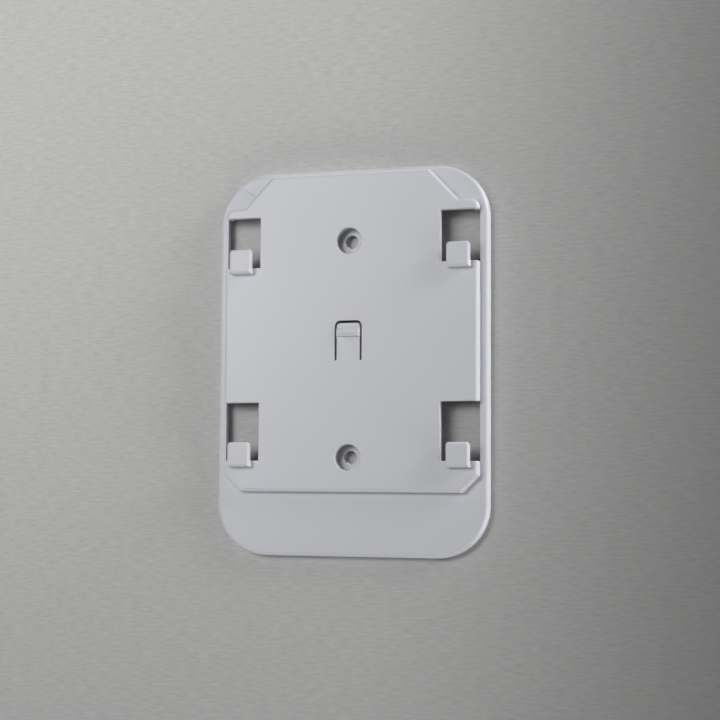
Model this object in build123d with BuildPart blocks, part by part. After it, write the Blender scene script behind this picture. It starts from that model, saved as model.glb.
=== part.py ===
from build123d import *
import os

# Wall mounting plate for a surface-mounted network device: one satin ABS moulding, built member by member.
# Millimetres. The wall face is y = 0, the plate faces -Y and +Z is up. The origin is midway between the
# two screw holes, on the wall face. A "level" is a distance out from the wall face, towards -Y.

# Plate outline
plate_width = 78.4
plate_above_centre = 50.2        # origin to the top edge
plate_below_centre = 57.2        # origin to the bottom edge
plate_corner_radius = 14.5
flange_edge_radius = 1.0         # front edge all round

# Levels and walls
pad_level = 5.0                  # front face of the raised pad
pad_rise = 2.3                   # pad front above flange front
skin = 1.5                       # moulded wall of flange, pad and rim
rib_thickness = 1.0

# Raised pad, measured at its foot
pad_side_strip = 2.35            # flange left showing beside the pad
pad_top_strip = 1.25
apron_height = 17.75             # flange left showing below the pad
pad_edge_radius = 1.0
shoulder_drop = 8.65             # sloping cut at each upper corner
shoulder_run = 8.1
ear_width = 5.75                 # level step outside each upper cut
ear_corner_radius = 2.3
shoulder_corner_radius = 1.5     # where the cut meets the level step
bottom_chamfer = 4.7

# Hook windows
window_width = 10.57
ear_bar = 2.82                   # material above each upper window
upper_window_height = 14.19
lower_window_rise = 8.55         # pad foot to the lower edge of a lower window
lower_window_height = 16.14
window_edge_radius = 0.3

# Hooks: a stem at the window's lower edge, and a tab that reaches up over the window
hook_width = 6.5
hook_stem_thickness = 1.7
hook_reach = 2.2                 # tab front above pad front
hook_tab_thickness = 1.6
hook_tab_overhang = 5.05         # tab above the window's lower edge
hook_corner_cut = 0.6
hook_edge_radius = 0.7
hook_lead_in = 0.3

# Screw holes
screw_spacing = 60.0
screw_hole_diameter = 3.75
counterbore_diameter = 7.2
counterbore_depth = 3.0
counterbore_rim_radius = 0.35
boss_wall = 1.5

# Latch: a tongue cut free on three sides, with a cross barb near its tip
tongue_root_z = -3.2
tongue_length = 10.31
tongue_width = 6.72
tongue_thickness = 1.2
tongue_corner_radius = 1.0
latch_slot = 0.58                # running gap down the tongue's sides
tip_slot = 0.69                  # and past its tip
barb_height = 0.85
barb_foot_z = 3.35
barb_flat = 1.45                 # level top of the barb
barb_ramp = 0.9                  # run of the lead-in ramp
barb_overhang = 0.1              # each end, past the tongue's side
barb_edge_radius = 0.25

# Rear ribs
stiffener_x = 15.0
latch_rib_drop = 5.0             # latch root to the rib below it
side_rib_z = 4.3

# Worked out from the above
flange_level = pad_level - pad_rise
flange_back = flange_level - skin
pad_back = pad_level - skin
tab_level = pad_level + hook_reach
tab_back = tab_level - hook_tab_thickness
half_width = plate_width / 2
plate_height = plate_above_centre + plate_below_centre
plate_mid_z = (plate_above_centre - plate_below_centre) / 2
rim_inner_x = half_width - skin
rim_top_z = plate_above_centre - skin
rim_bottom_z = skin - plate_below_centre
pad_half = half_width - pad_side_strip
pad_top_z = plate_above_centre - pad_top_strip
pad_bottom_z = apron_height - plate_below_centre
ear_z = pad_top_z - shoulder_drop
window_x = pad_half - window_width / 2
upper_window_top = ear_z - ear_bar
lower_window_bottom = pad_bottom_z + lower_window_rise
windows = {
    "upper": (upper_window_top - upper_window_height, upper_window_height),
    "lower": (lower_window_bottom, lower_window_height),
}
pad_inner_top_z = pad_top_z - skin
pad_inner_bottom_z = pad_bottom_z + skin
barb_width = tongue_width + 2 * barb_overhang
boss_radius = counterbore_diameter / 2 + boss_wall
screw_z = {"upper": screw_spacing / 2, "lower": -screw_spacing / 2}
sides = {"left": -1, "right": 1}

os.makedirs("parts", exist_ok=True)


def front_plane(level):
    """Sketch plane at a level: local x is X, local y is Z, and extruding goes out from the wall."""
    return Plane.XZ.offset(level)


def is_ear_corner(vertex):
    """True for the pad outline's outermost upper corners."""
    return abs(abs(vertex.X) - pad_half) < 0.01 and abs(vertex.Y - ear_z) < 0.01


def is_shoulder_corner(vertex):
    """True for the pad outline's inward corners, below the sloping cuts."""
    return abs(abs(vertex.X) - pad_half + ear_width) < 0.01 and abs(vertex.Y - ear_z) < 0.01


def is_counterbore(edge):
    """True for the mouth of a screw's counterbore."""
    return abs(edge.radius - counterbore_diameter / 2) < 0.01


def is_window_edge(edge):
    """True for the straight front edges of the hook windows."""
    inner_x = window_x - window_width / 2
    window_z = [z for bottom, height in windows.values() for z in (bottom, bottom + height)]
    middle = edge.center()
    on_side = abs(abs(middle.X) - inner_x) < 0.01
    on_end = abs(middle.X) > inner_x and min(abs(middle.Z - z) for z in window_z) < 0.01
    return edge.geom_type == GeomType.LINE and (on_side or on_end)


def finish(builder, name):
    builder.part.label = name
    export_step(builder.part, f"parts/{name}.step")


# Outlines shared by the members
with BuildSketch() as plate_outline:
    with Locations((0, plate_mid_z)):
        RectangleRounded(plate_width, plate_height, plate_corner_radius)

with BuildSketch() as pad_outline:
    with BuildLine():
        Polyline(
            (0, pad_bottom_z),
            (pad_half - bottom_chamfer, pad_bottom_z),
            (pad_half, pad_bottom_z + bottom_chamfer),
            (pad_half, ear_z),
            (pad_half - ear_width, ear_z),
            (pad_half - ear_width - shoulder_run, pad_top_z),
            (0, pad_top_z),
        )
        mirror(about=Plane.YZ)
    make_face()
    fillet(pad_outline.vertices().filter_by(is_shoulder_corner), shoulder_corner_radius)
    fillet(pad_outline.vertices().filter_by(is_ear_corner), ear_corner_radius)

with BuildSketch() as tongue_outline:
    with Locations((0, tongue_root_z)):
        Rectangle(tongue_width, tongue_length, align=(Align.CENTER, Align.MIN))
    fillet(tongue_outline.vertices().group_by(Axis.Y)[-1], tongue_corner_radius)

with BuildSketch() as latch_window:
    with Locations((0, tongue_root_z)):
        Rectangle(
            tongue_width + 2 * latch_slot, tongue_length + tip_slot, align=(Align.CENTER, Align.MIN)
        )
    fillet(latch_window.vertices().group_by(Axis.Y)[-1], tongue_corner_radius + latch_slot)

# Flange: the flat border round the pad
with BuildPart() as flange_plate:
    with BuildSketch(front_plane(flange_back)):
        add(plate_outline.sketch_local)
    extrude(amount=skin)
    fillet(flange_plate.faces().sort_by(Axis.Y)[0].edges(), flange_edge_radius)
    with BuildSketch(front_plane(flange_back)):
        add(pad_outline.sketch_local)
    extrude(amount=skin, mode=Mode.SUBTRACT)
finish(flange_plate, "flange_plate")

# Rim: the wall that carries the flange's edge down to the mounting surface
with BuildPart() as rim_wall:
    with BuildSketch(front_plane(0)):
        add(plate_outline.sketch_local)
        offset(plate_outline.sketch_local, amount=-skin, mode=Mode.SUBTRACT)
    extrude(amount=flange_back)
finish(rim_wall, "rim_wall")

# Pad: a shallow open-backed tray with four windows, two screw holes and the latch's slot
with BuildPart() as mounting_pad:
    with BuildSketch(front_plane(flange_back)):
        add(pad_outline.sketch_local)
    extrude(amount=pad_level - flange_back)
    fillet(mounting_pad.faces().sort_by(Axis.Y)[0].edges(), pad_edge_radius)
    with BuildSketch(front_plane(flange_back)):
        offset(pad_outline.sketch_local, amount=-skin, kind=Kind.INTERSECTION)
    extrude(amount=pad_back - flange_back, mode=Mode.SUBTRACT)
    with BuildSketch(front_plane(flange_back)):
        for bottom, height in windows.values():
            for side in sides.values():
                with Locations((side * window_x, bottom)):
                    Rectangle(window_width, height, align=(Align.CENTER, Align.MIN))
        with Locations(*[(0, z) for z in screw_z.values()]):
            Circle(counterbore_diameter / 2)
        add(latch_window.sketch_local)
    extrude(amount=pad_level - flange_back, mode=Mode.SUBTRACT)
    pad_front = mounting_pad.faces().sort_by(Axis.Y)[0]
    fillet(pad_front.edges().filter_by(GeomType.CIRCLE).filter_by(is_counterbore), counterbore_rim_radius)
    pad_front = mounting_pad.faces().sort_by(Axis.Y)[0]
    fillet(pad_front.edges().filter_by(is_window_edge), window_edge_radius)
finish(mounting_pad, "mounting_pad")

# Screw bosses: each carries its screw's head and stands on the wall
for name, z in screw_z.items():
    with BuildPart() as screw_boss:
        with BuildSketch(front_plane(0)):
            with Locations((0, z)):
                Circle(boss_radius)
        extrude(amount=pad_back)
        with Locations(Plane(origin=(0, -pad_back, z), x_dir=(1, 0, 0), z_dir=(0, -1, 0))):
            CounterBoreHole(
                radius=screw_hole_diameter / 2,
                counter_bore_radius=counterbore_diameter / 2,
                counter_bore_depth=counterbore_depth - skin,
            )
    finish(screw_boss, f"screw_boss_{name}")

# Hooks: a stem on the pad, just below the window, and a tab over the window
for level_name, (window_bottom, _) in windows.items():
    for side_name, side in sides.items():
        with BuildPart() as hook_stem:
            with BuildSketch(front_plane(pad_level)):
                with Locations((side * window_x, window_bottom)):
                    Rectangle(hook_width, hook_stem_thickness, align=(Align.CENTER, Align.MAX))
            extrude(amount=tab_back - pad_level)
        finish(hook_stem, f"hook_stem_{level_name}_{side_name}")

        with BuildPart() as hook_tab:
            with BuildSketch(front_plane(tab_back)) as tab_outline:
                with Locations((side * window_x, window_bottom - hook_stem_thickness)):
                    Rectangle(
                        hook_width, hook_stem_thickness + hook_tab_overhang, align=(Align.CENTER, Align.MIN)
                    )
                chamfer(tab_outline.vertices().group_by(Axis.Y)[-1], hook_corner_cut)
            extrude(amount=hook_tab_thickness)
            tab_tip = hook_tab.faces().sort_by(Axis.Z)[-1]
            chamfer(tab_tip.edges().sort_by(Axis.Y)[-1], hook_lead_in)
            fillet(hook_tab.faces().sort_by(Axis.Y)[0].edges(), hook_edge_radius)
        finish(hook_tab, f"hook_tab_{level_name}_{side_name}")

# Latch tongue: flush with the pad, thinner than it, and joined to it only at the root
with BuildPart() as latch_tongue:
    with BuildSketch(front_plane(pad_level - tongue_thickness)):
        add(tongue_outline.sketch_local)
    extrude(amount=tongue_thickness)
finish(latch_tongue, "latch_tongue")

# Latch barb: a ramp on the tip's side and a steep face towards the root
with BuildPart() as latch_barb:
    with BuildSketch(Plane.YZ.offset(-barb_width / 2)):
        with BuildLine():
            Polyline(
                (-pad_level, barb_foot_z),
                (-pad_level - barb_height, barb_foot_z),
                (-pad_level - barb_height, barb_foot_z + barb_flat),
                (-pad_level, barb_foot_z + barb_flat + barb_ramp),
                close=True,
            )
        make_face()
    extrude(amount=barb_width)
    fillet(latch_barb.faces().sort_by(Axis.Y)[0].edges(), barb_edge_radius)
finish(latch_barb, "latch_barb")

# Stiffeners: two long ribs from rim to rim, tall behind the pad and low behind the flange
for name, side in sides.items():
    with BuildPart() as stiffener:
        with BuildSketch(Plane.YZ.offset(side * stiffener_x - rib_thickness / 2)):
            with BuildLine():
                Polyline(
                    (0, rim_bottom_z),
                    (-flange_back, rim_bottom_z),
                    (-flange_back, pad_inner_bottom_z),
                    (-pad_back, pad_inner_bottom_z),
                    (-pad_back, pad_inner_top_z),
                    (-flange_back, pad_inner_top_z),
                    (-flange_back, rim_top_z),
                    (0, rim_top_z),
                    close=True,
                )
            make_face()
        extrude(amount=rib_thickness)
    finish(stiffener, f"stiffener_{name}")

# Boss webs: tie each screw boss to both stiffeners
for name, z in screw_z.items():
    with BuildPart() as boss_web:
        with BuildSketch(front_plane(0)):
            with Locations((0, z)):
                Rectangle(2 * stiffener_x - rib_thickness, rib_thickness)
                Circle(boss_radius, mode=Mode.SUBTRACT)
        extrude(amount=pad_back)
    finish(boss_web, f"boss_web_{name}")

# Latch rib: crosses between the stiffeners below the tongue's root
with BuildPart() as latch_rib:
    with BuildSketch(front_plane(0)):
        with Locations((0, tongue_root_z - latch_rib_drop)):
            Rectangle(2 * stiffener_x - rib_thickness, rib_thickness)
    extrude(amount=pad_back)
finish(latch_rib, "latch_rib")

# Side ribs: from each stiffener to the rim, between the upper and lower windows
for name, side in sides.items():
    with BuildPart() as side_rib:
        with BuildSketch(Plane.XY.offset(side_rib_z - rib_thickness / 2)):
            with BuildLine():
                Polyline(
                    (side * (stiffener_x + rib_thickness / 2), 0),
                    (side * (stiffener_x + rib_thickness / 2), -pad_back),
                    (side * (pad_half - skin), -pad_back),
                    (side * (pad_half - skin), -flange_back),
                    (side * rim_inner_x, -flange_back),
                    (side * rim_inner_x, 0),
                    close=True,
                )
            make_face()
        extrude(amount=rib_thickness)
    finish(side_rib, f"side_rib_{name}")
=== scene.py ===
import math

import bmesh
import bpy
from mathutils import Matrix, Vector


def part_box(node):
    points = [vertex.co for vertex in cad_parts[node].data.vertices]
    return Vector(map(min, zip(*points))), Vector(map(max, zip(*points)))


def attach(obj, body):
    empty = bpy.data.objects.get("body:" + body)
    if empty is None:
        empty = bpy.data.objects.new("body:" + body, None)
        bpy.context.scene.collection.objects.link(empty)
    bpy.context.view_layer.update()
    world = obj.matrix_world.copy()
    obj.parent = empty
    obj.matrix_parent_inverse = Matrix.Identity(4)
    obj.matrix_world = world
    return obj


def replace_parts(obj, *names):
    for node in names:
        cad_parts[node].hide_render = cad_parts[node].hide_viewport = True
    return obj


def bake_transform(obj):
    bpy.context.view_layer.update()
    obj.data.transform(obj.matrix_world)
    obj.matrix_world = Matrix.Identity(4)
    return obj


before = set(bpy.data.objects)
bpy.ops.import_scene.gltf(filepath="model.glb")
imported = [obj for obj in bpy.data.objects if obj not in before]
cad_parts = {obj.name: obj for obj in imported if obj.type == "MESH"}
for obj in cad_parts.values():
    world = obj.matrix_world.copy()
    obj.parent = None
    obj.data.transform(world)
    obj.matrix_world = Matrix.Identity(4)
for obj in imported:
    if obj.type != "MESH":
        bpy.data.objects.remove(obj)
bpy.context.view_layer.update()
mm = 0.001
sunk = 0.05                        # mm that an added piece reaches into the solid it stands on
crispAngle = 40                    # degrees; an edge that turns by more than this stays crisp
scene = bpy.context.scene
scene.view_settings.view_transform = "Standard"

# distances in metres
view = {
    "lens": 82.4,                  # mm
    "sensor": 36.0,                # mm
    "near": 0.01,
    "far": 20.0,
    "stand": (0.14213, -0.43496, -0.03699),   # right of the plate and a little below its middle
    "aim": (0.00351, -0.005, -0.00324),       # a point on the pad
    "roll": 0.36,                  # degrees about the line of sight
}


def addCamera():
    lens = bpy.data.cameras.new("viewCamera")
    lens.lens = view["lens"]
    lens.sensor_width = view["sensor"]
    lens.clip_start = view["near"]
    lens.clip_end = view["far"]
    camera = bpy.data.objects.new("viewCamera", lens)
    scene.collection.objects.link(camera)
    sight = (Vector(view["aim"]) - Vector(view["stand"])).to_track_quat("-Z", "Y").to_matrix().to_4x4()
    roll = Matrix.Rotation(math.radians(view["roll"]), 4, "Z")
    camera.matrix_world = Matrix.Translation(view["stand"]) @ sight @ roll
    scene.camera = camera


# an sRGB hex colour as linear red, green, blue and alpha
def linear(hexColour):
    channels = [int(hexColour[i:i + 2], 16) / 255 for i in (1, 3, 5)]
    return (*[c / 12.92 if c <= 0.04045 else ((c + 0.055) / 1.055) ** 2.4 for c in channels], 1.0)


def newMaterial(name):
    material = bpy.data.materials.new(name)
    material.use_nodes = True
    material.node_tree.nodes.clear()
    return material


# adds one node to a material or a world; settings are its properties, and inputs, by socket name or number,
# are values or (node, output) links; a Mix node's colours are its sockets 6 and 7, and their mix is output 2
def addNode(owner, kind, settings=None, inputs=None):
    node = owner.node_tree.nodes.new(kind)
    for key, value in (settings or {}).items():
        setattr(node, key, value)
    for socket, value in (inputs or {}).items():
        if isinstance(value, tuple) and isinstance(value[0], bpy.types.Node):
            owner.node_tree.links.new(value[0].outputs[value[1]], node.inputs[socket])
        else:
            node.inputs[socket].default_value = value
    return node


# ABS, injection moulded in a finely spark-eroded tool: a pale cool grey-white with a soft satin sheen
absFinish = {
    "colour": "#c4c5ca",
    "thickerColour": "#c1c2c8",    # faint flow clouding, tens of millimetres across
    "cloud": 38.0,                 # mm
    "grain": 0.45,                 # mm; the tool's grain is about 0.1 mm, drawn coarser so that it shows
    "grainDepth": 0.004,           # mm
    "roughness": 0.42,
    "roughnessSpread": 0.03,       # either way, with the clouding
    "ior": 1.53,
}


def mouldedWhiteAbs():
    look = absFinish
    rough, spread = look["roughness"], look["roughnessSpread"]
    material = newMaterial("mouldedWhiteAbs")
    place = addNode(material, "ShaderNodeTexCoord")
    cloud = addNode(material, "ShaderNodeTexNoise", {}, {
        "Vector": (place, "Object"), "Scale": 1 / (look["cloud"] * mm), "Detail": 2.0, "Roughness": 0.5})
    tint = addNode(material, "ShaderNodeMix", {"data_type": "RGBA"}, {
        0: (cloud, "Fac"), 6: linear(look["colour"]), 7: linear(look["thickerColour"])})
    grain = addNode(material, "ShaderNodeTexNoise", {}, {
        "Vector": (place, "Object"), "Scale": 1 / (look["grain"] * mm), "Detail": 2.0, "Roughness": 0.6})
    bump = addNode(material, "ShaderNodeBump", {}, {
        "Strength": 0.6, "Distance": look["grainDepth"] * mm, "Height": (grain, "Fac")})
    shine = addNode(material, "ShaderNodeMapRange", {}, {
        "Value": (cloud, "Fac"), "To Min": rough - spread, "To Max": rough + spread})
    surface = addNode(material, "ShaderNodeBsdfPrincipled", {}, {
        "Base Color": (tint, 2), "Roughness": (shine, 0), "IOR": look["ior"], "Normal": (bump, 0)})
    addNode(material, "ShaderNodeOutputMaterial", {}, {"Surface": (surface, 0)})
    return material


# emulsion paint brushed on a smooth wall: matt grey with fine level streaks left by the bristles; over it,
# painted shade darkens the colour to the right and downwards from the upper left, standing in for a lamp's
# fall-off at one side
wallFinish = {
    "colour": "#c8c8c7",
    "streakColour": "#a0a09f",
    "streakTall": 0.6,             # mm
    "streakLong": 3.5,             # mm
    "stippleDepth": 0.03,          # mm
    "roughness": 0.7,
    "ior": 1.45,
    # painted shade: from mm along the wall to a share of the colour
    "paintedShadeRight": {"From Min": -10.0, "From Max": 150.0, "To Min": 1.0, "To Max": 0.33},
    "paintedShadeDown": {"From Min": 110.0, "From Max": -110.0, "To Min": 1.23, "To Max": 0.9},
}


def emulsionPaint():
    look = wallFinish
    material = newMaterial("emulsionPaint")
    place = addNode(material, "ShaderNodeTexCoord")
    stretch = addNode(material, "ShaderNodeMapping", {}, {
        "Vector": (place, "Object"), "Scale": (look["streakTall"] / look["streakLong"], 1.0, 1.0)})
    stipple = addNode(material, "ShaderNodeTexNoise", {}, {
        "Vector": (stretch, 0), "Scale": 1 / (look["streakTall"] * mm), "Detail": 3.0, "Roughness": 0.6})
    tint = addNode(material, "ShaderNodeMix", {"data_type": "RGBA"}, {
        0: (stipple, "Fac"), 6: linear(look["colour"]), 7: linear(look["streakColour"])})
    inMm = addNode(material, "ShaderNodeVectorMath", {"operation": "SCALE"}, {
        0: (place, "Object"), "Scale": 1 / mm})
    along = addNode(material, "ShaderNodeSeparateXYZ", {}, {0: (inMm, 0)})
    # painted shade: the paint colour is darkened to the right and downwards, standing in for a lamp's
    # fall-off
    paintedShadeRight = addNode(material, "ShaderNodeMapRange", {"interpolation_type": "SMOOTHSTEP"}, {
        "Value": (along, "X"), **look["paintedShadeRight"]})
    paintedShadeDown = addNode(material, "ShaderNodeMapRange", {}, {"Value": (along, "Z"), **look["paintedShadeDown"]})
    paintedShade = addNode(material, "ShaderNodeMath", {"operation": "MULTIPLY"}, {
        0: (paintedShadeRight, 0), 1: (paintedShadeDown, 0)})
    colour = addNode(material, "ShaderNodeMix", {"data_type": "RGBA", "blend_type": "MULTIPLY"}, {
        0: 1.0, 6: (tint, 2), 7: (paintedShade, 0)})
    bump = addNode(material, "ShaderNodeBump", {}, {
        "Strength": 0.5, "Distance": look["stippleDepth"] * mm, "Height": (stipple, "Fac")})
    paint = addNode(material, "ShaderNodeBsdfPrincipled", {}, {
        "Base Color": (colour, 2), "Roughness": look["roughness"], "IOR": look["ior"], "Normal": (bump, 0)})
    clear = addNode(material, "ShaderNodeBsdfTransparent")
    side = addNode(material, "ShaderNodeNewGeometry")
    oneSided = addNode(material, "ShaderNodeMixShader", {}, {
        0: (side, "Backfacing"), 1: (paint, 0), 2: (clear, 0)})   # the wall is only there from the front
    addNode(material, "ShaderNodeOutputMaterial", {}, {"Surface": (oneSided, 0)})
    return material


# closes a skin over equal rings of points, one after another, with a face at each end
def skinRings(solid, rings):
    rows = [[solid.verts.new(point) for point in ring] for ring in rings]
    for row, nextRow in zip(rows, rows[1:]):
        for i in range(len(row)):
            j = (i + 1) % len(row)
            solid.faces.new((row[i], row[j], nextRow[j], nextRow[i]))
    solid.faces.new(rows[0])
    solid.faces.new(rows[-1])


# one smooth ABS piece from any number of skins; a piece with body None is attached to no body
def addPiece(name, skins, body):
    solid = bmesh.new()
    for rings in skins:
        skinRings(solid, rings)
    bmesh.ops.recalc_face_normals(solid, faces=solid.faces)
    mesh = bpy.data.meshes.new(name)
    solid.to_mesh(mesh)
    solid.free()
    mesh.shade_smooth()
    mesh.set_sharp_from_angle(angle=math.radians(crispAngle))
    mesh.materials.append(whiteAbs)
    piece = bpy.data.objects.new(name, mesh)
    scene.collection.objects.link(piece)
    if body:
        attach(piece, body)
    return piece


# a thin leaf, free on three sides; it bends over its first few millimetres when the device is unhooked
tongueShape = {
    "bendLength": 4.5,             # mm from the root
    "rowStep": 0.45,               # mm between bending rows
    "edgeRadius": 0.14,            # mm
    "rootEdge": 0.002,             # mm, edge radius at the root, where it joins the pad squarely
    "rootFlare": 0.4,              # mm of edge radius gained per mm from the root
    "cornerRadius": 1.0,           # mm, at the tip
    "cornerSteps": 7,
}


def addTongue():
    shape = tongueShape
    low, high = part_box("latch_tongue")
    middleY, halfThick, halfWide = (low.y + high.y) / 2, (high.y - low.y) / 2, (high.x - low.x) / 2
    corner, edge = shape["cornerRadius"] * mm, shape["edgeRadius"] * mm
    straight = high.z - corner - low.z
    rowCount = round(straight / (shape["rowStep"] * mm))
    rows = [(low.z + straight * i / rowCount, halfWide) for i in range(rowCount)]
    for i in range(shape["cornerSteps"] + 1):
        turn = math.radians(90) * i / shape["cornerSteps"]
        rows.append((high.z - corner * (1 - math.sin(turn)), halfWide - corner * (1 - math.cos(turn))))
    rings = []
    for z, wide in rows:
        fromTip = min(high.z - z, edge)
        thick = halfThick - edge + math.sqrt(edge ** 2 - (edge - fromTip) ** 2)   # rounds the tip's edges too
        radius = min(edge, (z - low.z) * shape["rootFlare"] + shape["rootEdge"] * mm)
        ring = []
        for sideX, sideY, start in ((1, 1, 0), (-1, 1, 90), (-1, -1, 180), (1, -1, 270)):
            for degrees in (start, start + 45, start + 90):
                turn = math.radians(degrees)
                x = sideX * (wide - radius) + radius * math.cos(turn)
                y = middleY + sideY * (thick - radius) + radius * math.sin(turn)
                ring.append((x, y, z))
        rings.append(ring)
    tongue = addPiece("latchTongue", [rings], None)
    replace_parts(tongue, "latch_tongue")
    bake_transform(tongue)


# the barb: a steep face towards the root, a front that leans out to a crest, a lead-in ramp, and sloped ends
barbShape = {
    "foot": 0.82,                  # height of the steep face, as a share of the crest's
    "crest": 0.6,                  # where the crest lies, as a share of the barb's depth
    "frontSteps": 5,
    "edgeRadius": 0.2,             # mm
    "crestRound": ((0.8, 0.3), (1.4, 0.85)),   # past the crest, in edge radii: further on, lower
    "endSlope": 0.6,               # mm, run of each sloped end
    "endSteps": ((0.0, 0.1), (0.8, 0.9), (1.0, 0.98), (1.3, 1.0)),   # share of that run, share of the height
}


# the barb's outline at a share of its full height, in mm from the steep face and above the tongue
def barbOutline(share, tall, deep):
    shape = barbShape
    foot, crest = tall * shape["foot"] * share, tall * share
    radius, crestAt = shape["edgeRadius"] * share, deep * shape["crest"]
    outline = [(0.0, -sunk), (0.0, 0.0)]
    for degrees in (0, 22.5, 45, 67.5):
        turn = math.radians(degrees)
        outline.append((radius * (1 - math.cos(turn)), foot - radius * (1 - math.sin(turn))))
    for step in range(shape["frontSteps"]):    # the front bulges a little on its way to the crest
        way = (step + 1) / shape["frontSteps"]
        bulge = math.sin(math.pi / 2 * way)
        outline.append((radius + (crestAt - radius) * way, foot + (crest - foot) * bulge))
    outline += [(crestAt + radius * on, crest - radius * lower) for on, lower in shape["crestRound"]]
    outline += [(deep, 0.0), (deep, -sunk)]
    return outline


def addBarb():
    shape = barbShape
    low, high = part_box("latch_barb")
    tall, deep, half = (high.y - low.y) / mm, (high.z - low.z) / mm, (high.x - low.x) / 2
    stations = [(half - shape["endSlope"] * mm * run, share) for run, share in shape["endSteps"]]
    stations += [(-x, share) for x, share in reversed(stations)]
    rings = [[(x, high.y - up * mm, low.z + z * mm) for z, up in barbOutline(share, tall, deep)]
             for x, share in stations]
    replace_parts(addPiece("latchBarb", [rings], "latch"), "latch_barb")


# moulding marks on the back, in mm; spots are (x, z), profiles are (radius, height) from the middle outwards
backMarks = {
    "padPins": ((-25.2, 12.0), (25.2, 12.0), (-21.0, -10.0), (21.0, -10.0), (-8.5, 17.0), (8.5, 17.0),
                (-8.5, -19.0), (8.5, -19.0), (-8.0, 42.0), (8.0, 42.0)),
    "flangePins": ((-24.0, -48.0), (0.0, -48.0), (24.0, -48.0)),
    "pinProfile": ((0.3, 0.056), (1.4, 0.06), (1.82, 0.08), (1.92, 0.072), (2.0, 0.0)),   # flat ejector pins
    "gateSpot": (0.0, -19.0),      # where the plastic came in
    "gateProfile": ((0.12, 0.21), (0.38, 0.35), (0.6, 0.28), (0.68, 0.12), (0.85, 0.0)),  # the cut runner
    "around": 40,                  # points round a mark
    "rootRadius": 0.4,             # at the foot of every rib
}


# turns a profile about each spot on a surface at this level
def addTurnedMarks(name, spots, profile, level):
    count = backMarks["around"]
    turns = [2 * math.pi * i / count for i in range(count)]
    (innerRadius, _), (outerRadius, _) = profile[0], profile[-1]
    outline = [*profile, (outerRadius, -sunk), (innerRadius, -sunk)]
    skins = []
    for x, z in spots:
        skins.append([[
            ((x + radius * math.cos(turn)) * mm, level + height * mm, (z + radius * math.sin(turn)) * mm)
            for turn in turns] for radius, height in outline])
    addPiece(name, skins, "plate")


# the rings of one concave root radius from start to end; out points away from the rib's face, in x and z
def rootStrip(start, end, out, level):
    radius = backMarks["rootRadius"]
    section = [(-sunk, -sunk), (radius, -sunk), (radius, 0.0)]
    for degrees in (22.5, 45, 67.5):
        turn = math.radians(degrees)
        section.append((radius * (1 - math.sin(turn)), radius * (1 - math.cos(turn))))
    section += [(0.0, radius), (-sunk, radius)]
    return [[((x + far * out[0]) * mm, level + up * mm, (z + far * out[1]) * mm) for far, up in section]
            for x, z in (start, end)]


def addRootRadii(level):
    webs = ("boss_web_upper", "boss_web_lower", "latch_rib")
    names = (*webs, "stiffener_right", "side_rib_right", "mounting_pad", "screw_boss_upper")
    corners = {name: [(corner.x / mm, corner.z / mm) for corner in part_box(name)] for name in names}
    (innerX, _), (outerX, _) = corners["stiffener_right"]
    (_, padBottom), (padRight, padTop) = corners["mounting_pad"]
    bossRight = corners["screw_boss_upper"][1][0]
    front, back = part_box("flange_plate")
    wall = (back.y - front.y) / mm             # the pad's side walls are as thick as the flange
    crossings = sorted(z for name in webs for _, z in corners[name])
    innerStops = [padBottom + wall, *crossings, padTop - wall]
    outerStops = [padBottom + wall, *(z for _, z in corners["side_rib_right"]), padTop - wall]
    crossRibs = (("boss_web_upper", bossRight, innerX), ("boss_web_lower", bossRight, innerX),
                 ("latch_rib", 0, innerX), ("side_rib_right", outerX, padRight - wall))
    strips = []
    for side in (-1, 1):
        for x, stops, way in ((innerX, innerStops, -1), (outerX, outerStops, 1)):
            for low, high in zip(stops[0::2], stops[1::2]):
                strips.append(rootStrip((side * x, low), (side * x, high), (side * way, 0), level))
        for name, start, end in crossRibs:
            for (_, z), way in zip(corners[name], (-1, 1)):
                strips.append(rootStrip((side * start, z), (side * end, z), (0, way), level))
    addPiece("ribRootRadii", strips, "plate")


# where two flows of plastic met: a hair-thin ridge across the flange's upper left corner
weldLine = {
    "ends": ((-33.3, 47.1), (-27.8, 43.2)),    # mm, in x and z
    "wide": 0.55,                  # mm
    "tall": 0.13,                  # mm at its middle
    "stations": (0.0, 0.12, 0.5, 0.88, 1.0),   # shares of its length
    "blunt": 0.06,                 # share of its length; each end is as tall as the curve is this far in
}


def addWeldLine(level):
    start, end = (Vector(point) for point in weldLine["ends"])
    along = (end - start).normalized()
    across = Vector((along.y, -along.x)) * weldLine["wide"] / 2
    blunt = weldLine["blunt"]
    rings = []
    for share in weldLine["stations"]:
        middle = start.lerp(end, share)
        tall = weldLine["tall"] * math.sin(math.pi * min(max(share, blunt), 1 - blunt))
        ring = [(-1.0, sunk), (1.0, sunk)]
        for step in range(4, -5, -1):
            ring.append((step / 4, -tall * (1 + math.cos(math.pi * step / 4)) / 2))
        rings.append([
            ((middle.x + across.x * side) * mm, level + height * mm, (middle.y + across.y * side) * mm)
            for side, height in ring])
    addPiece("weldLine", [rings], "plate")


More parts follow.
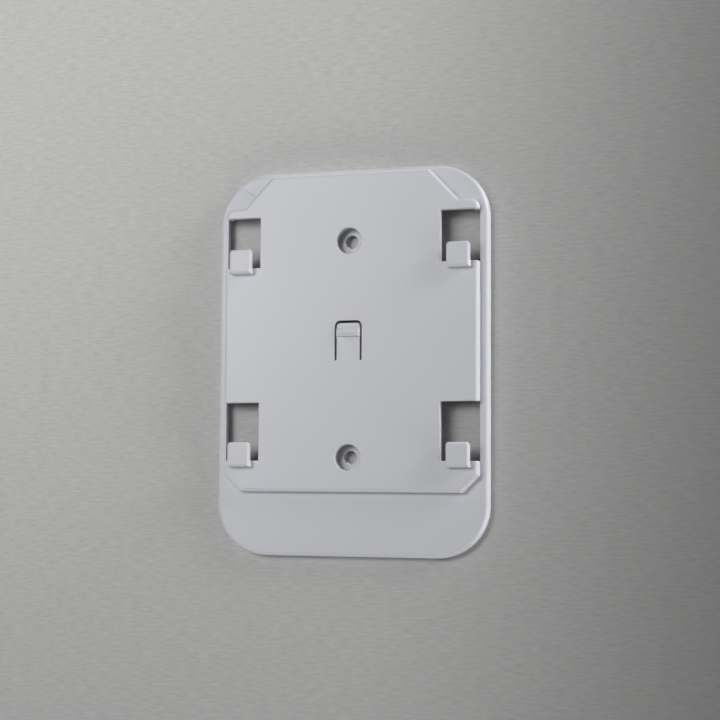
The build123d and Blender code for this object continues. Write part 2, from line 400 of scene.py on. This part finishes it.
# lengths in metres unless noted
stage = {
    "wallWidth": 3.0,
    "wallGap": 0.02,               # mm behind the plate's rear face
    "floorDrop": 0.24,             # below the plate's middle
    "floorWide": 3.0,
    "aimAt": (0.0, -0.003, -0.0035),
    # azimuth and elevation seen from the plate, in degrees; distance, width, height; watts
    "lamps": {
        "softKey": (-18, 24, 1.2, 0.34, 0.5, 3.65),
        "upperLeft": (-27, 18, 1.2, 0.25, 0.5, 1.65),
        "nearLeft": (-34, 5.3, 0.36, 0.09, 0.15, 0.227),
        "besideLeft": (-44, 9.6, 0.5, 0.1, 0.2, 0.216),
        "frontRight": (30, 10, 1.2, 0.5, 0.5, 0.46),
        "lowerLeft": (-84, -35, 1.2, 0.5, 0.5, 1.8),
        "upperRight": (84, 30, 1.2, 0.5, 0.5, 13.1),
        "lowerRight": (84, -30, 1.2, 0.5, 0.5, 6.2),
        "fromBelow": (0, -75, 1.2, 0.6, 0.6, 3.3),
    },
    "backLamp": (-160, 22, 1.2, 0.8, 0.8, 13.5),
    "backdrop": "#c9c9c6",         # what shows past the floor
    "airLight": 0.02,              # even light from all round
}

# painted board, matt and pale; its own glow keeps it as pale far off as under the lamps
boardFinish = {"colour": "#787876", "glow": "#b2b2af", "roughness": 0.75}


# a 0 or 1 output: the ray is one that sees or mirrors the background
def backgroundRay(owner):
    ray = addNode(owner, "ShaderNodeLightPath")
    direct = addNode(owner, "ShaderNodeMath", {"operation": "MAXIMUM"}, {
        0: (ray, "Is Camera Ray"), 1: (ray, "Is Glossy Ray")})
    return addNode(owner, "ShaderNodeMath", {"operation": "MAXIMUM"}, {
        0: (direct, 0), 1: (ray, "Is Transmission Ray")})


def paintedBoard():
    material = newMaterial("paintedBoard")
    surface = addNode(material, "ShaderNodeBsdfPrincipled", {}, {
        "Base Color": linear(boardFinish["colour"]), "Roughness": boardFinish["roughness"]})
    glow = addNode(material, "ShaderNodeEmission", {}, {
        "Color": linear(boardFinish["glow"]), "Strength": (backgroundRay(material), 0)})
    lit = addNode(material, "ShaderNodeAddShader", {}, {0: (surface, 0), 1: (glow, 0)})
    addNode(material, "ShaderNodeOutputMaterial", {}, {"Surface": (lit, 0)})
    return material


def addSheet(name, corners, material):
    mesh = bpy.data.meshes.new(name)
    mesh.from_pydata(corners, [], [(0, 1, 2, 3)])
    mesh.materials.append(material)
    sheet = bpy.data.objects.new(name, mesh)
    scene.collection.objects.link(sheet)
    sheet.visible_shadow = False   # lamps behind and below still reach the plate
    return sheet


def addStage():
    half, y = stage["wallWidth"] / 2, stage["wallGap"] * mm
    wallCorners = [(-half, y, -half), (half, y, -half), (half, y, half), (-half, y, half)]
    addSheet("paintedWall", wallCorners, emulsionPaint())
    half, z = stage["floorWide"] / 2, -stage["floorDrop"]
    floorCorners = [(-half, -half, z), (half, -half, z), (half, half, z), (-half, half, z)]
    paleFloor = addSheet("paleFloor", floorCorners, paintedBoard())
    paleFloor.visible_diffuse = False   # its bounce would wash out the shade inside the windows


def addLamp(name, azimuth, elevation, distance, width, height, watts):
    turn, lift = math.radians(azimuth), math.radians(elevation)
    away = Vector((math.sin(turn) * math.cos(lift), -math.cos(turn) * math.cos(lift), math.sin(lift)))
    light = bpy.data.lights.new(name, "AREA")
    light.shape = "ELLIPSE"
    light.size, light.size_y = width, height
    light.energy = watts
    lamp = bpy.data.objects.new(name, light)
    lamp.visible_camera = False
    scene.collection.objects.link(lamp)
    place = Matrix.Translation(Vector(stage["aimAt"]) + away * distance)
    lamp.matrix_world = place @ (-away).to_track_quat("-Z", "Y").to_matrix().to_4x4()
    return lamp


def addLight():
    for name, settings in stage["lamps"].items():
        addLamp(name, *settings)
    backLamp = addLamp("backLamp", *stage["backLamp"])
    backLamp.data.cycles.max_bounces = 0   # only faces turned to the wall take its light
    world = bpy.data.worlds.new("studioAir")
    scene.world = world
    world.use_nodes = True
    world.node_tree.nodes.clear()
    air = addNode(world, "ShaderNodeBackground", {}, {"Color": (1, 1, 1, 1), "Strength": stage["airLight"]})
    backdrop = addNode(world, "ShaderNodeBackground", {}, {
        "Color": linear(stage["backdrop"]), "Strength": 1.0})
    sky = addNode(world, "ShaderNodeMixShader", {}, {
        0: (backgroundRay(world), 0), 1: (air, 0), 2: (backdrop, 0)})
    addNode(world, "ShaderNodeOutputWorld", {}, {"Surface": (sky, 0)})


addCamera()
whiteAbs = mouldedWhiteAbs()
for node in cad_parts.values():
    node.data.materials.clear()
    node.data.materials.append(whiteAbs)
print("camera placed, materials set on", len(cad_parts), "CAD nodes")
addTongue()
addBarb()
print("latch tongue and barb made")
padBack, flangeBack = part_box("boss_web_upper")[0].y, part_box("rim_wall")[0].y
addTurnedMarks("padEjectorMarks", backMarks["padPins"], backMarks["pinProfile"], padBack)
addTurnedMarks("flangeEjectorMarks", backMarks["flangePins"], backMarks["pinProfile"], flangeBack)
addTurnedMarks("gateStub", [backMarks["gateSpot"]], backMarks["gateProfile"], padBack)
addRootRadii(padBack)
addWeldLine(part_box("flange_plate")[0].y)
print("moulding marks made")
addStage()
addLight()
print("stage and lamps set")
